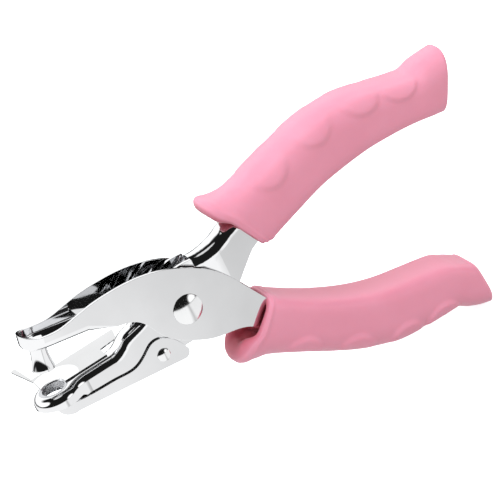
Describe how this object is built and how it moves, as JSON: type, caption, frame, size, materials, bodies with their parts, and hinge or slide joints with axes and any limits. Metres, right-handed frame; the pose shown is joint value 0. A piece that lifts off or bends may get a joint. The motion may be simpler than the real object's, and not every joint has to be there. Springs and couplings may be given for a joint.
{
  "type": "hand-held single-hole punch",
  "caption": "Plier-type hand punch for one round hole: two pivoted sheet-steel levers, flared punch and die, spring, hinged chip tray and two soft sleeves.",
  "frame": {"origin": "on the flat underside of the chip tray, midway between its cheeks, 26 mm in front of the main pivot", "axes": "+X from the nose to the handles along the die face, +Y along the pivot axis, +Z from the die towards the punch"},
  "size_m": [0.1406, 0.0297, 0.0758],
  "materials": {
    "plated_steel": "bright nickel-chrome plated sheet steel",
    "rivet_steel": "bright plated, slightly satin",
    "tool_steel": "ground tool steel",
    "spring_steel": "drawn spring wire",
    "soft_sleeve": "soft satin moulded rubber"
  },
  "bodies": {
    "die_lever": {"die_lever": "plated_steel", "die_ring": "tool_steel", "guide_plate": "plated_steel", "pivot_rivet": "rivet_steel", "pivot_washer": "rivet_steel", "cheek_washers": "rivet_steel", "pivot_bush": "rivet_steel", "return_spring": "spring_steel", "tray_pins": "rivet_steel", "upper_grip": "soft_sleeve"},
    "punch_lever": {"punch_lever": "plated_steel", "punch": "plated_steel", "punch_washer": "rivet_steel", "lower_grip": "soft_sleeve"},
    "chip_tray": {"chip_tray": "plated_steel"}
  },
  "joints": [
    {"name": "jaw", "type": "hinge", "parent": "die_lever", "child": "punch_lever", "pos_m": [0.026, 0, 0.00991], "axis": [0, -1, 0], "range_deg": [0, 10.5], "deforming": ["return_spring"]},
    {"name": "tray", "type": "hinge", "parent": "die_lever", "child": "chip_tray", "pos_m": [0.015, 0, 0.00191], "axis": [0, -1, 0], "range_deg": [0, 65]}
  ]
}
